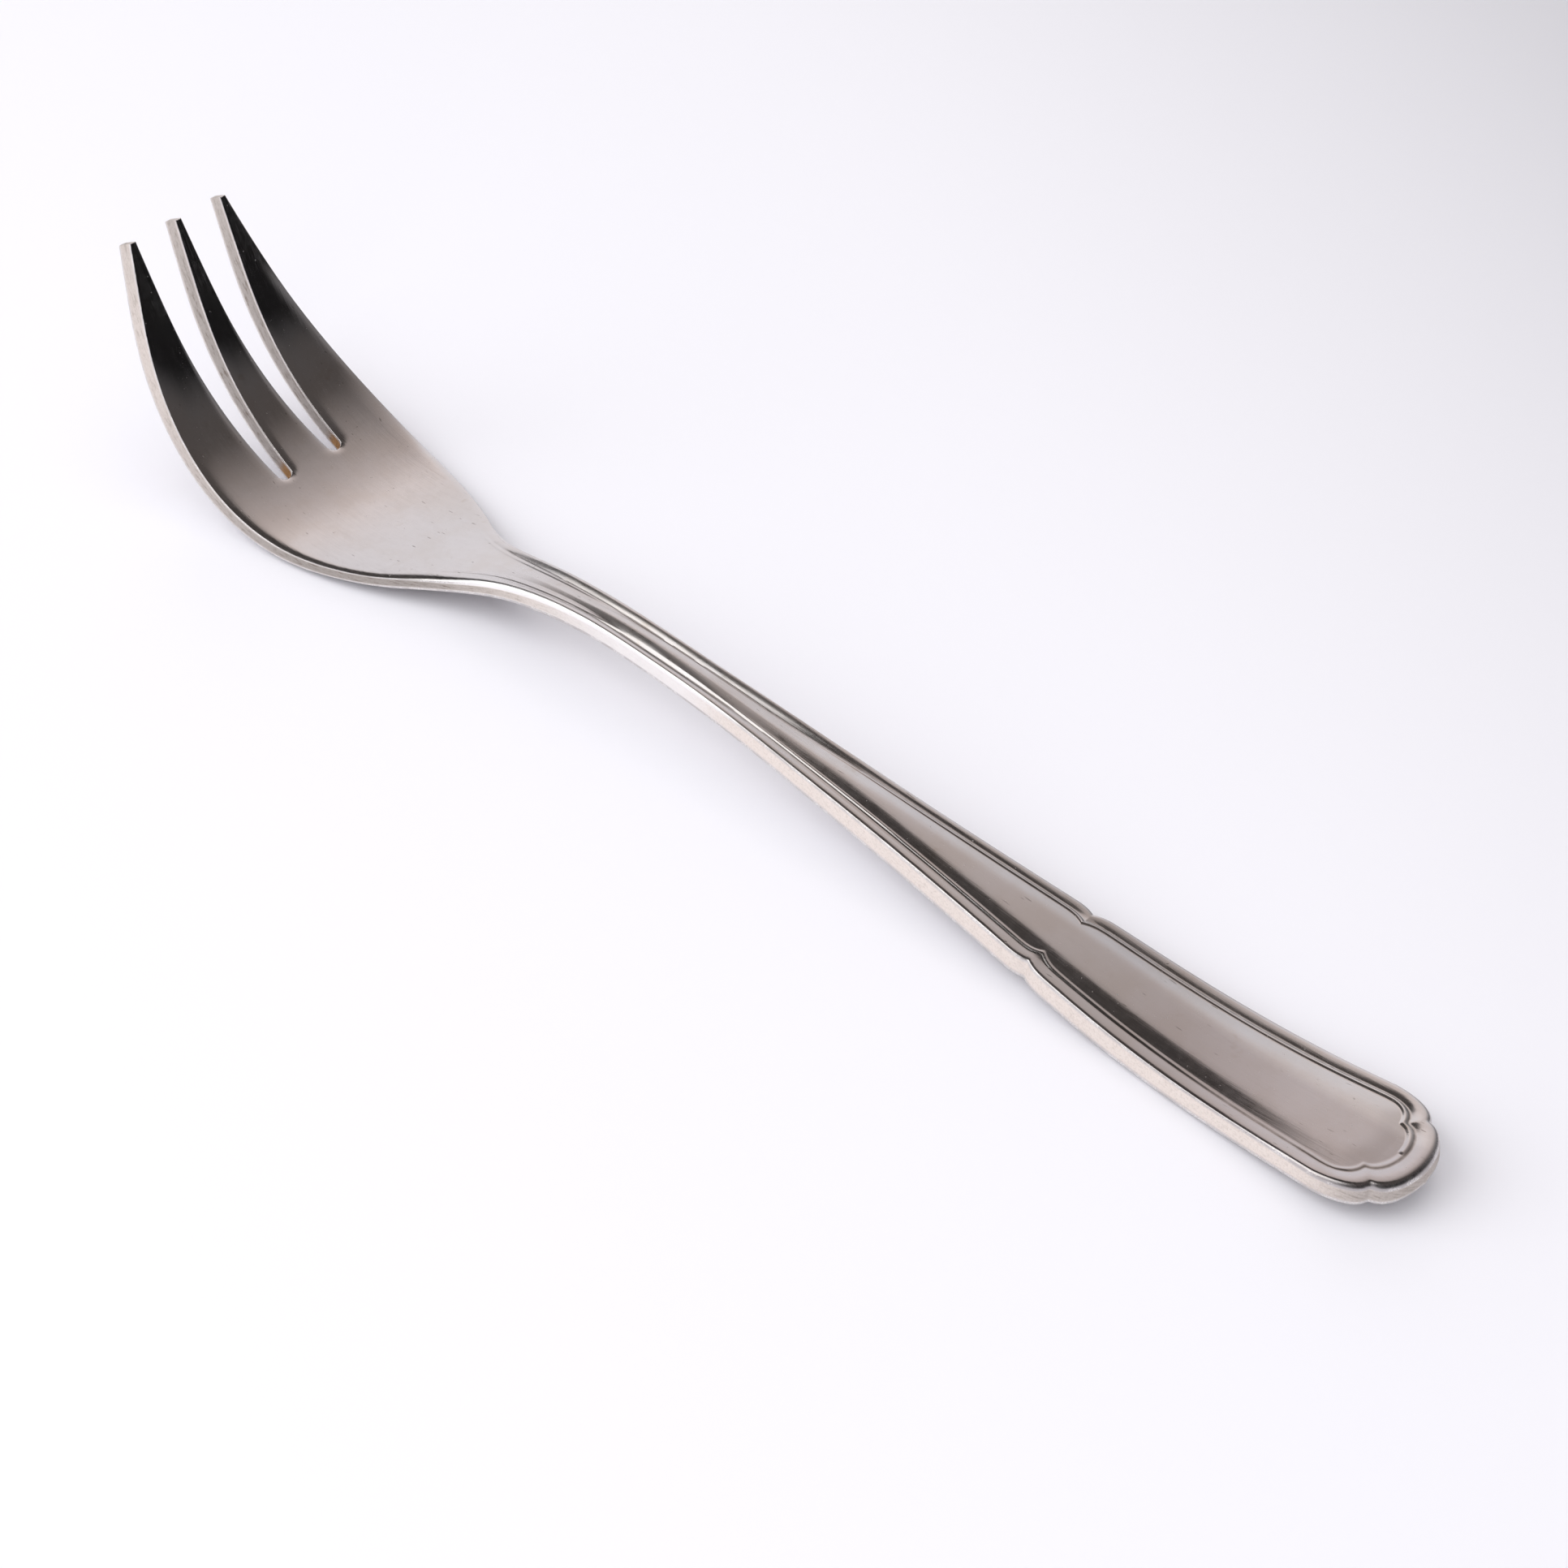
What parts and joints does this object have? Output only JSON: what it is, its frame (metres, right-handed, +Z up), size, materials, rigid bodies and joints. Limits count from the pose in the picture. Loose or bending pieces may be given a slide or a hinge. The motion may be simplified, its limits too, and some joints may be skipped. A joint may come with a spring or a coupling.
{
  "type": "oyster fork",
  "caption": "Small one-piece table fork with short tapered tines, a shallow dished palm, a narrow neck and a flat handle with a coined border, for lifting oysters from the shell.",
  "frame": {"origin": "centre of the bounding box at its bottom, on the plane that the belly and the handle rest on", "axes": "+X from the tine tips towards the handle's end, +Y across the fork, +Z up out of the front face"},
  "size_m": [0.1496, 0.0212, 0.0241],
  "materials": {
    "plated_metal": "worn silver-coloured plate, satin polished on the faces and matt on the stamped edges"
  },
  "bodies": {
    "root": {"fork": "plated_metal"}
  },
  "joints": []
}
